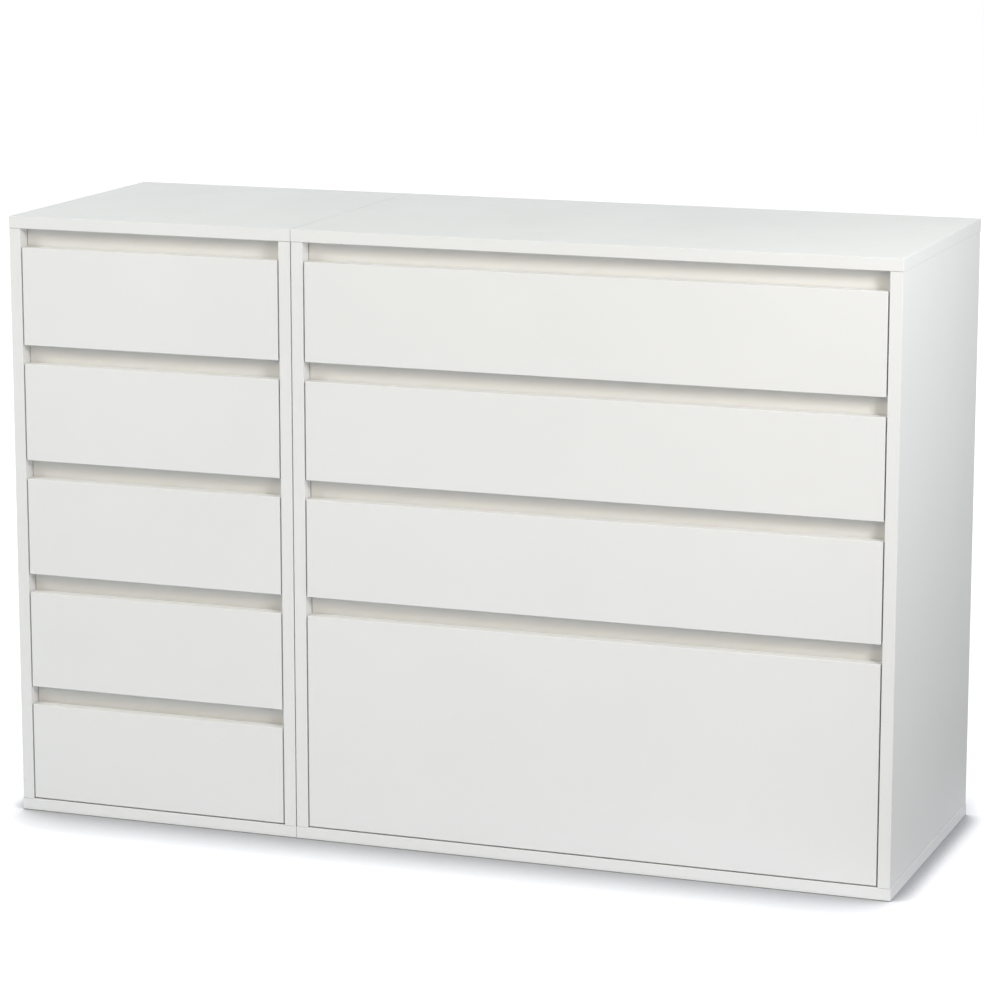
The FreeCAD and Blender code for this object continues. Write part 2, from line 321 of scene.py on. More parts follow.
def melamine(name, colour, shade, worn, roughness, banded=True, pearl=0.02 * MM, dust=0.05):
    """White melamine-faced board; shade is the colour its clouding reaches, worn that of rubbed corners."""
    material, tree, surface = new_material(name)
    face = use(tree, BOARD_FACE)
    paint = tint(tree, spread(tree, face["Cloud"]), colour, shade)
    if banded:
        glue = use(tree, BAND_LINE)["Line"]
        paint = tint(tree, reckon(tree, "MULTIPLY", glue, GLUE_SHOWS), paint, GLUE_GREY)
    wear = use(tree, EDGE_WEAR, Reach=1.0 * MM, Break_up=0.75)["Mask"]
    paint = tint(tree, reckon(tree, "MULTIPLY", wear, BOARD_WEAR_SHOWS), paint, worn)
    grey = use(tree, DUST, Amount=dust, Corner_reach=15.0 * MM)["Mask"]
    paint = tint(tree, grey, paint, DUST_GREY)
    # painted shade, with some dirt, in the grooves where boards meet
    paint = tint(tree, use(tree, GROOVE_DIRT_AND_SHADE, Depth=0.75)["Mask"], paint, GROOVE_DIRT_AND_SHADE_COLOUR)
    feed(tree, paint, surface.inputs["Base Color"])
    sheen = spread(tree, face["Gloss"], roughness - 0.05, roughness + 0.06)
    feed(tree, reckon(tree, "MULTIPLY_ADD", grey, DUST_DULLS, sheen), surface.inputs["Roughness"])
    surface.inputs["Specular IOR Level"].default_value = 0.45
    raise_surface(tree, surface, face["Pearl"], pearl)
    return material


def hardboard(name, colour, shade, flat_axes):
    """White lacquered hardboard in the plane of two axes: smooth inside, the press screen's print outside."""
    material, tree, surface = new_material(name)
    coordinates = place(tree, "ShaderNodeTexCoord").outputs
    parts = place(tree, "ShaderNodeSeparateXYZ", ((0, coordinates["Object"]),)).outputs
    normal = place(tree, "ShaderNodeSeparateXYZ", ((0, coordinates["Normal"]),)).outputs
    # a back panel's print looks back, a drawer bottom's looks down
    outwards = (normal["Y"], 0.5, 0.9) if flat_axes == "XZ" else (normal["Z"], -0.5, -0.9)
    across, along = (parts[axis] for axis in flat_axes)
    weave = use(tree, MESH_PRINT, Across=across, Along=along, Pitch=1.6 * MM)["Height"]
    strands = scaled(tree, coordinates["Object"], (1.0, 0.35, 0.8))
    fibre = noise(tree, strands, 420.0, detail=4.0, roughness=0.6)
    cloud = noise(tree, coordinates["Object"], 7.0, detail=4.0, roughness=0.55)
    paint = tint(tree, spread(tree, cloud), colour, shade)
    threads = reckon(tree, "MULTIPLY", stretch(tree, fibre, 0.5, 0.75), FIBRES_SHOW)
    paint = tint(tree, threads, paint, FIBRE_BROWN)
    grey = use(tree, DUST, Amount=0.16, Corner_reach=20.0 * MM)["Mask"]
    paint = tint(tree, grey, paint, DUST_GREY)
    feed(tree, paint, surface.inputs["Base Color"])
    feed(tree, spread(tree, fibre, 0.48, 0.62), surface.inputs["Roughness"])
    printed = reckon(tree, "MULTIPLY", weave, stretch(tree, *outwards))
    raise_surface(tree, surface, reckon(tree, "MULTIPLY_ADD", fibre, 0.35, printed), 0.09 * MM)
    return material


def plated_steel(name, colour, shade, rubbed, roughness, line_spacing):
    """Plated rolled steel with lines along its length, brighter where it rubs."""
    material, tree, surface = new_material(name)
    steel = use(tree, ROLLED_STEEL, Line_spacing=line_spacing)
    paint = tint(tree, spread(tree, steel["Cloud"]), colour, shade)
    lines = reckon(tree, "MULTIPLY", stretch(tree, steel["Lines"], 0.4, 0.7), LINES_SHOW)
    paint = tint(tree, lines, paint, shade)
    paint = tint(tree, reckon(tree, "MULTIPLY", steel["Scratches"], SCRATCHES_SHOW), paint, rubbed)
    wear = use(tree, EDGE_WEAR, Reach=0.6 * MM, Break_up=0.5)["Mask"]
    paint = tint(tree, reckon(tree, "MULTIPLY", wear, WEAR_SHOWS), paint, rubbed)
    feed(tree, paint, surface.inputs["Base Color"])
    surface.inputs["Metallic"].default_value = 1.0
    shine = spread(tree, steel["Lines"], roughness - 0.06, roughness + 0.08)
    feed(tree, reckon(tree, "MULTIPLY_ADD", steel["Cloud"], 0.1, shine), surface.inputs["Roughness"])
    raise_surface(tree, surface, steel["Lines"], 0.01 * MM)
    return material


def moulded_black(name, colour, roughness):
    """Black moulded plastic or rubber: fine grain from the mould, paler where it is rubbed, and some dust."""
    material, tree, surface = new_material(name)
    where = place(tree, "ShaderNodeTexCoord").outputs["Object"]
    grain = noise(tree, where, 1900.0, detail=2.0)
    cloud = noise(tree, where, 90.0, detail=4.0, roughness=0.6)
    pale = tuple(2.2 * part + 0.02 for part in colour)
    specks = reckon(tree, "MULTIPLY", stretch(tree, cloud, 0.4, 0.75), SPECKS_SHOW)
    paint = tint(tree, specks, colour, pale)
    wear = use(tree, EDGE_WEAR, Reach=0.5 * MM, Break_up=0.6)["Mask"]
    paint = tint(tree, reckon(tree, "MULTIPLY", wear, WEAR_SHOWS), paint, RUBBED_BLACK)
    grey = use(tree, DUST, Amount=0.10, Corner_reach=3.0 * MM)["Mask"]
    paint = tint(tree, grey, paint, DUSTY_BLACK)
    feed(tree, paint, surface.inputs["Base Color"])
    shine = spread(tree, cloud, roughness - 0.06, roughness + 0.06)
    feed(tree, shine, surface.inputs["Roughness"])
    raise_surface(tree, surface, grain, 0.03 * MM)
    return material


CABINET_WHITE = melamine("cabinet_melamine", *BOARD_COLOURS, roughness=0.42)
FRONT_WHITE = melamine("front_melamine", *BOARD_COLOURS, roughness=0.40)
# the rails carry painted shade: a warmer, darker copy of the boards' melamine
RAIL_SHADED_WHITE = melamine("rail_melamine_painted_shade", *RAIL_SHADED_COLOURS, roughness=0.42)
BOX_WHITE = melamine("box_foil", *FOIL_COLOURS, roughness=0.38, banded=False, pearl=0.012 * MM, dust=0.16)
BACK_WHITE = hardboard("back_hardboard", *LACQUER_COLOURS, flat_axes="XZ")
BOTTOM_WHITE = hardboard("bottom_hardboard", *LACQUER_COLOURS, flat_axes="XY")
LEVER_BLACK = moulded_black("lever_plastic", PLASTIC_BLACK, roughness=0.46)
BUMPER_RUBBER = moulded_black("bumper_rubber", RUBBER_BLACK, roughness=0.72)
SLIDE_ZINC = plated_steel("slide_zinc", *SLIDE_COLOURS, roughness=0.34, line_spacing=0.6 * MM)
SCREW_ZINC = plated_steel("screw_zinc", *SCREW_COLOURS, roughness=0.28, line_spacing=0.4 * MM)
BOLT_NICKEL = plated_steel("bolt_nickel", *NICKEL_COLOURS, roughness=0.24, line_spacing=0.3 * MM)

# by the last word of a node's name; the cabinets' other panels are CABINET_WHITE
FINISHES = {
    "channels": SLIDE_ZINC,
    "bolts": BOLT_NICKEL,
    "back": BACK_WHITE,
    "bottom": BOTTOM_WHITE,
    "box": BOX_WHITE,
    "rails": RAIL_SHADED_WHITE,
    "front": FRONT_WHITE,
}

for node_name, node_object in frame["nodes"].items():
    node_object.data.materials.clear()
    node_object.data.materials.append(FINISHES.get(node_name.split("_")[-1], CABINET_WHITE))


# ---- building pieces ----

def as_mesh(bm, name):
    """A mesh of this bmesh, which is then used up."""
    mesh = bpy.data.meshes.new(name)
    bm.to_mesh(mesh)
    bm.free()
    return mesh


def finish_piece(bm, name, body, material, smooth_angle=0.6):
    """A mesh object made from this bmesh, riding on a body, with corners sharper than an angle kept crisp."""
    mesh = as_mesh(bm, name)
    mesh.polygons.foreach_set("use_smooth", [True] * len(mesh.polygons))
    mesh.set_sharp_from_angle(angle=smooth_angle)
    mesh.materials.append(material)
    piece = bpy.data.objects.new(name, mesh)
    bpy.context.scene.collection.objects.link(piece)
    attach(piece, body)
    return piece


def add_copies(bm, pattern, places):
    """Copies of a pattern mesh in a bmesh, one at each matrix."""
    for matrix in places:
        old_verts = set(bm.verts)
        bm.from_mesh(pattern)
        bmesh.ops.transform(bm, matrix=matrix, verts=[vert for vert in bm.verts if vert not in old_verts])


def facing(at, direction, turn=0.0):
    """Matrix that stands a pattern drawn along +Z at a point, facing a direction and turned about it.

    Each screw gets a turn of its own, worked out from its place.
    """
    rotation = Vector(direction).to_track_quat("Z", "Y").to_matrix().to_4x4()
    return Matrix.Translation(Vector(at)) @ rotation @ Matrix.Rotation(turn, 4, "Z")


def edges_of(verts):
    """Every edge at these vertices, once."""
    return list(dict.fromkeys(edge for vert in verts for edge in vert.link_edges))


def loop_through(bm, points):
    """A closed loop of edges through points in the XY plane."""
    verts = [bm.verts.new((x, y, 0.0)) for x, y in points]
    return [bm.edges.new((verts[k], verts[(k + 1) % len(verts)])) for k in range(len(verts))]


def drawn(bm, edges, reach=(0.0, 0.0, 0.0), grow=1.0):
    """Edges drawn out straight, the new rim scaled about the Z axis; returns the rim's edges and vertices."""
    made = bmesh.ops.extrude_edge_only(bm, edges=edges)["geom"]
    verts = [item for item in made if isinstance(item, bmesh.types.BMVert)]
    fresh = set(verts)
    bmesh.ops.scale(bm, vec=(grow, grow, 1.0), verts=verts)
    bmesh.ops.translate(bm, vec=reach, verts=verts)
    rim = [item for item in made if isinstance(item, bmesh.types.BMEdge) and fresh.issuperset(item.verts)]
    return rim, verts


def rolled(bm, edges, centre, angle, steps):
    """Edges rolled round an axis along Y in a few steps; returns the last rim's edges."""
    for _ in range(steps):
        edges, verts = drawn(bm, edges)
        bmesh.ops.rotate(bm, cent=centre, matrix=Matrix.Rotation(angle / steps, 3, "Y"), verts=verts)
    return edges


# ---- screws and bolts ----

HEAD_RINGS = ((0.30, 1.0), (0.45, 0.88), (0.25, 0.76))     # rise of each, of the head's, and its growth
CROSS_ARM = 0.46                # length of an arm of the recess, of the head's radius
CROSS_SLIT = 0.11               # half its width
RECESS_TAPER = 0.72             # size of the recess's bottom, of its mouth


def screw_head(name, radius, height, recess, sides=20):
    """Round screw head with a cross recess."""
    bm = bmesh.new()
    edges = edges_of(bmesh.ops.create_circle(bm, cap_ends=True, segments=sides, radius=radius)["verts"])
    for rise, grow in HEAD_RINGS:
        edges, _ = drawn(bm, edges, (0.0, 0.0, rise * height), grow)
    arm, slit = CROSS_ARM * radius, CROSS_SLIT * radius
    corner = ((slit, arm), (-slit, arm), (-slit, slit))
    turns = [Matrix.Rotation(k * math.pi / 2, 2) for k in range(4)]
    cross = loop_through(bm, [tuple(turn @ Vector(spot)) for turn in turns for spot in corner])
    crossed = list(dict.fromkeys(vert for edge in cross for vert in edge.verts))
    bmesh.ops.translate(bm, vec=(0.0, 0.0, height), verts=crossed)
    bmesh.ops.triangle_fill(bm, use_beauty=True, edges=edges + cross)
    deep, _ = drawn(bm, cross, (0.0, 0.0, -recess), RECESS_TAPER)
    bmesh.ops.triangle_fill(bm, use_beauty=True, edges=deep)
    bmesh.ops.recalc_face_normals(bm, faces=bm.faces)
    return as_mesh(bm, name)


# ---- rolled channels of the slides ----

SLIDE_W = 13.0 * MM             # from the cabinet's side to the drawer box
SLIDE_STEEL = 1.2 * MM          # thickness of the channels
SLIDE_LIP = 3.4 * MM            # width of their turned-in lips
SLIDE_PLAY = 0.5 * MM           # between the lips of two channels
WEB_GAP = 1.2 * MM              # between their webs
OPEN_EDGE = 3.2 * MM            # from an outer channel's lips to the drawer box
OUTER_DEPTH = SLIDE_W - OPEN_EDGE
MIDDLE_DEPTH = SLIDE_W - 2 * SLIDE_STEEL - 1.5 * WEB_GAP
INNER_DEPTH = SLIDE_W - 2 * (SLIDE_STEEL + WEB_GAP)
HALF_OUTER = 22.5 * MM          # half the height of the channels
HALF_MIDDLE = HALF_OUTER - SLIDE_LIP - SLIDE_PLAY
HALF_INNER = HALF_MIDDLE - SLIDE_LIP - SLIDE_PLAY
WEB_BEND = 2.0 * MM             # radius from a web to its flange
LIP_BEND = 1.6 * MM             # and from the flange to the lip
BEND_STEPS = 4
SLOT_W = 4.6 * MM               # of the slots for screws
SCREW_SLOT_L = 14.0 * MM
WINDOWS = 3                     # in a middle channel's web
WINDOW_L = 40.0 * MM
WINDOW_W = 9.0 * MM


def slot_outline(bm, at, long, wide, upright=False):
    """Outline of a round-ended slot in a web; at is (x, y), long its whole length and wide its width."""
    verts = bmesh.ops.create_circle(bm, segments=12, radius=wide / 2,
                                    matrix=Matrix.Rotation(math.pi / 12, 4, "Z"))["verts"]
    axis = 0 if upright else 1
    for vert in verts:
        vert.co[axis] += math.copysign((long - wide) / 2, vert.co[axis])
    bmesh.ops.translate(bm, vec=(*at, 0.0), verts=verts)
    return edges_of(verts)


def channel_pattern(name, half, depth, length, slots):
    """Rolled channel along Y, its web's outside in z = 0 and its open side up; slots are for slot_outline."""
    bm = bmesh.new()
    flat = half - WEB_BEND
    border = loop_through(bm, ((-flat, 0.0), (flat, 0.0), (flat, length), (-flat, length)))
    holes = [edge for slot in slots for edge in slot_outline(bm, *slot)]
    bmesh.ops.triangle_fill(bm, use_beauty=True, edges=border + holes)
    for side, edge in ((1, border[1]), (-1, border[3])):
        quarter = -side * math.pi / 2
        edges = rolled(bm, [edge], (side * flat, 0.0, WEB_BEND), quarter, BEND_STEPS)
        edges, _ = drawn(bm, edges, (0.0, 0.0, depth - WEB_BEND - LIP_BEND))
        edges = rolled(bm, edges, (side * (half - LIP_BEND), 0.0, depth - LIP_BEND), quarter, BEND_STEPS)
        drawn(bm, edges, (-side * (SLIDE_LIP - LIP_BEND), 0.0, 0.0))
    bmesh.ops.recalc_face_normals(bm, faces=bm.faces)
    bmesh.ops.solidify(bm, geom=bm.faces, thickness=SLIDE_STEEL)
    return as_mesh(bm, name)


def screw_slots(upright_at, upright_l, lying_at):
    """Slots for screws at these distances from a web's front end: upright ones, and ones lying along it."""
    upright = [((0.0, y), upright_l, SLOT_W, True) for y in upright_at]
    lying = [((0.0, y), SCREW_SLOT_L, SLOT_W, False) for y in lying_at]
    return sorted(upright + lying)


def laid_along(way, at):
    """Matrix that lays a pattern along Y at a point, its Z facing this way along X."""
    y_axis, z_axis = Vector((0.0, 1.0, 0.0)), Vector((way, 0.0, 0.0))
    turned = Matrix((y_axis.cross(z_axis), y_axis, z_axis)).transposed()
    return Matrix.Translation(Vector(at)) @ turned.to_4x4()


def both_sides(drawer):
    """Inner faces of a cabinet's sides at a drawer, each with the way in, and its slides' middle height."""
    low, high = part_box(drawer + "_inner_channels")
    rim = SLIDE_W - INNER_DEPTH
    return ((low.x - rim, 1.0), (high.x + rim, -1.0)), (low.z + high.z) / 2


def channel_places(drawer, web_at, opens_in, y):
    """A matrix for each of a drawer's two channels, or for what sits in them.

    Its web is web_at from the cabinet's side and its front end at y; one that opens in faces the drawer.
    """
    sides, z = both_sides(drawer)
    return [laid_along(way if opens_in else -way, (x + way * web_at, y, z)) for x, way in sides]


CABINET = "cabinet"
SLIDE_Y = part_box("outer_channels")[0].y
SLIDE_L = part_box("outer_channels")[1].y - SLIDE_Y
MIDDLE_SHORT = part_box(DRAWERS[0] + "_middle_channels")[0].y - SLIDE_Y
MIDDLE_L = SLIDE_L - 2 * MIDDLE_SHORT
OUTER_SCREWS_Y = (35.0 * MM, 163.0 * MM, 291.0 * MM)
INNER_SCREWS_Y = (35.0 * MM, 131.0 * MM, 291.0 * MM)

SLIDE_SCREW = screw_head("slide_screw", radius=3.4 * MM, height=0.95 * MM, recess=0.75 * MM)
BOX_SCREW = screw_head("box_screw", radius=3.8 * MM, height=1.6 * MM, recess=1.2 * MM)
FRONT_SCREW = screw_head("front_screw", radius=4.4 * MM, height=2.4 * MM, recess=1.7 * MM)
CAM_LOCK = screw_head("cam_lock", radius=7.4 * MM, height=0.8 * MM, recess=0.6 * MM, sides=28)

OUTER_SLOTS = screw_slots(upright_at=(67.0 * MM, 131.0 * MM, 195.0 * MM, 259.0 * MM), upright_l=9.0 * MM,
                          lying_at=(99.0 * MM, 227.0 * MM))
INNER_SLOTS = screw_slots(upright_at=(67.0 * MM, 323.0 * MM), upright_l=8.0 * MM, lying_at=(99.0 * MM,))
MIDDLE_WINDOWS = [((0.0, (k + 0.5) / WINDOWS * MIDDLE_L), WINDOW_L, WINDOW_W) for k in range(WINDOWS)]
OUTER = channel_pattern("outer_channel", HALF_OUTER, OUTER_DEPTH, SLIDE_L, OUTER_SLOTS)
MIDDLE = channel_pattern("middle_channel", HALF_MIDDLE, MIDDLE_DEPTH, MIDDLE_L, MIDDLE_WINDOWS)
INNER = channel_pattern("inner_channel", HALF_INNER, INNER_DEPTH, SLIDE_L, INNER_SLOTS)


def rolled_pieces(name, nodes, body, pattern, places):
    """Rolled channels in the place of CAD ones."""
    bm = bmesh.new()
    add_copies(bm, pattern, places)
    piece = finish_piece(bm, name, body, SLIDE_ZINC, smooth_angle=0.3)
    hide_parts(*nodes)


def heads(name, body, pattern, places):
    """Zinc plated heads in one piece."""
    bm = bmesh.new()
    add_copies(bm, pattern, places)
    finish_piece(bm, name, body, SCREW_ZINC)


def slides():
    """Channels and their screws: outer on the cabinet, middle on the runners, inner on the drawers."""
    outer_places, outer_screws = [], []
    for drawer in DRAWERS:
        sides, z = both_sides(drawer)
        outer_places += channel_places(drawer, 0.0, True, SLIDE_Y)
        outer_screws += [facing((x + way * SLIDE_STEEL, SLIDE_Y + y, z), (way, 0.0, 0.0), turn=0.3 + 31.0 * y)
                         for x, way in sides for y in OUTER_SCREWS_Y]
        middle, inner = drawer + "_middle_channels", drawer + "_inner_channels"
        rolled_pieces(middle + "_rolled", [middle], drawer + "_runners", MIDDLE,
                      channel_places(drawer, SLIDE_STEEL + WEB_GAP, True, SLIDE_Y + MIDDLE_SHORT))
        rolled_pieces(inner + "_rolled", [inner], drawer, INNER,
                      channel_places(drawer, SLIDE_W, False, SLIDE_Y))
        web = SLIDE_W - SLIDE_STEEL
        inner_screws = [facing((x + way * web, SLIDE_Y + y, z), (-way, 0.0, 0.0), turn=0.8 + 23.0 * y)
                        for x, way in sides for y in INNER_SCREWS_Y]
        heads(drawer + "_slide_screws", drawer, BOX_SCREW, inner_screws)
    rolled_pieces("outer_channels_rolled", ["outer_channels"], CABINET, OUTER, outer_places)
    heads("outer_channel_screws", CABINET, SLIDE_SCREW, outer_screws)


slides()


# ---- small plastic parts of the slides ----

def rounded(bm, edges, radius, segments=2):
    """Edges rounded off."""
    bmesh.ops.bevel(bm, geom=edges, offset=radius, segments=segments, profile=0.5, affect="EDGES",
                    material=-1)


def rounded_block(bm, low, high, radius, segments=2):
    """A closed block between two corners with its edges rounded."""
    verts = bmesh.ops.create_cube(bm, size=1.0)["verts"]
    bmesh.ops.scale(bm, vec=Vector(high) - Vector(low), verts=verts)
    bmesh.ops.translate(bm, vec=(Vector(low) + Vector(high)) / 2, verts=verts)
    rounded(bm, edges_of(verts), radius, segments)


def boss(bm, at, radius, height, rounding):
    """A short round boss that stands along Z, its top edge rounded."""
    middle = at[2] + height / 2
    verts = bmesh.ops.create_cone(bm, cap_ends=True, segments=24, radius1=radius, radius2=radius,
                                  depth=height)["verts"]
    bmesh.ops.translate(bm, vec=(at[0], at[1], middle), verts=verts)
    rim = [edge for edge in edges_of(verts) if all(vert.co.z > middle for vert in edge.verts)]
    rounded(bm, rim, rounding)


ARM_L = 50.0 * MM
ARM_W = 4.6 * MM
ARM_T = 1.8 * MM
ARM_BOW = 2.4 * MM              # sideways, at its middle
ARM_WAIST = 0.25                # share of its width that it loses there
PIVOT_Y = 24.0 * MM             # from the middle of the arm
RIDGES_Y = (-28.0 * MM, -25.5 * MM, -23.0 * MM)     # on the thumb pad


def release_lever():
    """Plastic catch that frees a drawer: a thumb pad on a bowed arm and a pivot boss; along Y, on z = 0."""
    bm = bmesh.new()
    arm = bmesh.ops.create_grid(bm, x_segments=1, y_segments=10, size=0.5)["verts"]
    bmesh.ops.scale(bm, vec=(ARM_W, ARM_L, 1.0), verts=arm)
    for vert in arm:
        bow = math.sin(math.pi * (vert.co.y / ARM_L + 0.5))
        vert.co.x = (vert.co.x + ARM_BOW * bow) * (1.0 - ARM_WAIST * bow)
    made = bmesh.ops.extrude_face_region(bm, geom=bm.faces[:])["geom"]
    raised = [item for item in made if isinstance(item, bmesh.types.BMVert)]
    bmesh.ops.translate(bm, vec=(0.0, 0.0, ARM_T), verts=raised)
    bmesh.ops.recalc_face_normals(bm, faces=bm.faces)
    sharp = [edge for edge in bm.edges if edge.is_manifold and edge.calc_face_angle() > 1.2]
    rounded(bm, sharp, 0.35 * MM)
    boss(bm, (0.0, PIVOT_Y, 0.0), radius=4.2 * MM, height=2.6 * MM, rounding=0.5 * MM)
    boss(bm, (0.0, PIVOT_Y, 2.4 * MM), radius=1.7 * MM, height=0.9 * MM, rounding=0.3 * MM)
    rounded_block(bm, (-4.0 * MM, -30.0 * MM, 0.0), (4.0 * MM, -21.0 * MM, 3.0 * MM), radius=0.7 * MM)
    for y in RIDGES_Y:
        rounded_block(bm, (-3.2 * MM, y - 0.4 * MM, 2.6 * MM), (3.2 * MM, y + 0.4 * MM, 3.5 * MM),
                      radius=0.25 * MM, segments=1)
    return as_mesh(bm, "release_lever")


def end_bumper():
    """Rubber buffer that stops the middle channel at the back of the outer one; along X, on z = 0."""
    bm = bmesh.new()
    rounded_block(bm, (-13.0 * MM, -1.8 * MM, 0.0), (13.0 * MM, 1.8 * MM, 6.6 * MM), radius=0.7 * MM)
    for ear in (15.5 * MM, -15.5 * MM):
        rounded_block(bm, (ear - 2.0 * MM, -3.4 * MM, 0.0), (ear + 2.0 * MM, 1.8 * MM, 5.0 * MM),
                      radius=0.7 * MM)
    return as_mesh(bm, "end_bumper")


LEVER_Y = 215.0 * MM            # front end of an inner channel to its catch
BUMPER_Y = SLIDE_L - 2.0 * MM


def slide_plastics():
    """A catch in each inner channel and a buffer in each outer one."""
    lever, bumper = release_lever(), end_bumper()
    bumper_places = []
    for drawer in DRAWERS:
        bm = bmesh.new()
        add_copies(bm, lever, channel_places(drawer, SLIDE_W - SLIDE_STEEL, False, SLIDE_Y + LEVER_Y))
        finish_piece(bm, drawer + "_release_levers", drawer, LEVER_BLACK)
        bumper_places += channel_places(drawer, SLIDE_STEEL, True, SLIDE_Y + BUMPER_Y)
    bm = bmesh.new()
    add_copies(bm, bumper, bumper_places)
    finish_piece(bm, "outer_channel_bumpers", CABINET, BUMPER_RUBBER)


slide_plastics()


# ---- fixings of the boards ----

BOX_T = 12.0 * MM               # thickness of the drawer boxes' boards
WIDE_BOX = 500.0 * MM           # a box wider than this has more fixings along its width
DEEP_BOX = 200.0 * MM           # one higher than this has a third row of corner screws
LOW_ROW = 20.0 * MM             # corner screws above a box's lower edge
TOP_ROW = 14.0 * MM             # below its upper edge
MIDDLE_ROW = 25.0 * MM          # above its middle, clear of the slides
SLAB_SCREWS_X = 60.0 * MM       # front screws from a box's ends
SLAB_SCREWS_LOW = 32.0 * MM     # above its lower edge
SLAB_SCREWS_TOP = 25.0 * MM     # below its upper edge
PIN_INSET = 25.0 * MM
CAM_Y = 140.0 * MM              # before and behind the middle of a cabinet's side
CAM_INSET = 24.0 * MM


def screw_rows(low, high):
    """Heights of the screws at the corners of a box between two heights, clear of its slides."""
    rows = [low + LOW_ROW, high - TOP_ROW]
    return rows + [(low + high) / 2 + MIDDLE_ROW] if high - low > DEEP_BOX else rows


def box_fixings(drawer):
    """Screws through a box's sides into its inner front and back, and from inside it into the slab front."""
    low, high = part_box(drawer + "_box")
    corners = [facing((x, y, z), (way, 0.0, 0.0), turn=37.0 * (y + 2.0 * z))
               for x, way in ((low.x, -1.0), (high.x, 1.0))
               for y in (low.y + BOX_T / 2, high.y - BOX_T / 2) for z in screw_rows(low.z, high.z)]
    heads(drawer + "_corner_screws", drawer, BOX_SCREW, corners)
    across = [low.x + SLAB_SCREWS_X, high.x - SLAB_SCREWS_X]
    if high.x - low.x > WIDE_BOX:
        across.append((low.x + high.x) / 2)
    inside = [facing((x, low.y + BOX_T, z), (0.0, 1.0, 0.0), turn=53.0 * (x + z))
              for x in across for z in (low.z + SLAB_SCREWS_LOW, high.z - SLAB_SCREWS_TOP)]
    heads(drawer + "_front_screws", drawer, FRONT_SCREW, inside)


def bottom_pins(drawer):
    """Flat-headed pins that hold a bottom panel up against the back board."""
    low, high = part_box(drawer + "_bottom")
    bm = bmesh.new()
    boss(bm, (0.0, 0.0, 0.0), radius=2.1 * MM, height=0.6 * MM, rounding=0.2 * MM)
    pin = as_mesh(bm, "pin")
    count = 6 if high.x - low.x > WIDE_BOX else 3
    step = (high.x - low.x - 2 * PIN_INSET) / (count - 1)
    places = [facing((low.x + PIN_INSET + k * step, high.y - BOX_T / 2, low.z), (0.0, 0.0, -1.0))
              for k in range(count)]
    heads(drawer + "_bottom_pins", drawer, pin, places)


def cam_locks():
    """Cam discs in the sides' inner faces, which draw the top and the base up to them."""
    places = []
    for unit in ("narrow", "wide"):
        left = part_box(unit + "_side_left")
        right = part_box(unit + "_side_right")
        for x, way in ((left[1].x, 1.0), (right[0].x, -1.0)):
            places += [facing((x, y, z), (way, 0.0, 0.0), turn=0.4 + 19.0 * (y + z))
                       for y in (-CAM_Y, CAM_Y) for z in (left[0].z + CAM_INSET, left[1].z - CAM_INSET)]
    heads("cam_locks", CABINET, CAM_LOCK, places)


for drawer in DRAWERS:
    box_fixings(drawer)
    bottom_pins(drawer)
cam_locks()


# ---- studio ----

CAMERA_AT = (1.678, -4.577, 1.416)
CAMERA_YAW = 0.3518             # radians to the left of straight ahead
CAMERA_PITCH = 0.1979           # radians down from level
LENS = 137.5                    # millimetres, on a sensor 36 wide

camera_data = bpy.data.cameras.new("camera")
camera_data.lens = LENS
camera_data.sensor_width = 36.0
camera = bpy.data.objects.new("camera", camera_data)
camera.location = CAMERA_AT
camera.rotation_euler = (math.pi / 2 - CAMERA_PITCH, 0.0, CAMERA_YAW)
bpy.context.scene.collection.objects.link(camera)
bpy.context.scene.camera = camera


def softbox(name, at, towards, width, height, power, colour):
    """A rectangular lamp that faces a point."""
    data = bpy.data.lights.new(name, "AREA")
    data.shape = "RECTANGLE"
    data.size = width
    data.size_y = height
    data.energy = power
    data.color = colour
    lamp = bpy.data.objects.new(name, data)
    lamp.location = at
    lamp.rotation_euler = (Vector(towards) - Vector(at)).to_track_quat("-Z", "Y").to_euler()
    bpy.context.scene.collection.objects.link(lamp)
    return lamp


STUDIO_MIDDLE = Vector((0.0, -0.2, 0.4))
LAMPS = (                       # name, azimuth, elevation, distance, width, height, watts, colour
    ("key_right", 58, 28, 3.2, 0.5, 0.8, 45.2, (0.92, 0.907, 0.92)),
    ("low_right", 50, 8, 3.2, 0.7, 0.4, 12.3, (1.0, 1.0, 0.96)),
    ("fill_left", -55, 34, 3.5, 1.6, 1.2, 58.5, (0.92, 0.955, 0.943)),
    ("low_front", 0, 27, 4.0, 2.2, 1.0, 24.5, (1.0, 0.87, 0.66)),
    ("behind", 205, 30, 4.0, 2.4, 1.4, 42.0, (0.82, 0.97, 1.0)),
    ("near_side", 85, 36, 1.6, 0.8, 0.6, 4.1, (0.94, 1.0, 1.0)),
)
MIRRORED_LAMPS = ("low_front",)     # the others would glare across the tops
for name, azimuth, elevation, distance, width, height, watts, colour in LAMPS:
    across, up = math.radians(azimuth), math.radians(elevation)
    way = Vector((math.sin(across) * math.cos(up), -math.cos(across) * math.cos(up), math.sin(up)))
    lamp = softbox(name, STUDIO_MIDDLE + distance * way, STUDIO_MIDDLE, width, height, watts, colour)
    lamp.visible_glossy = name in MIRRORED_LAMPS

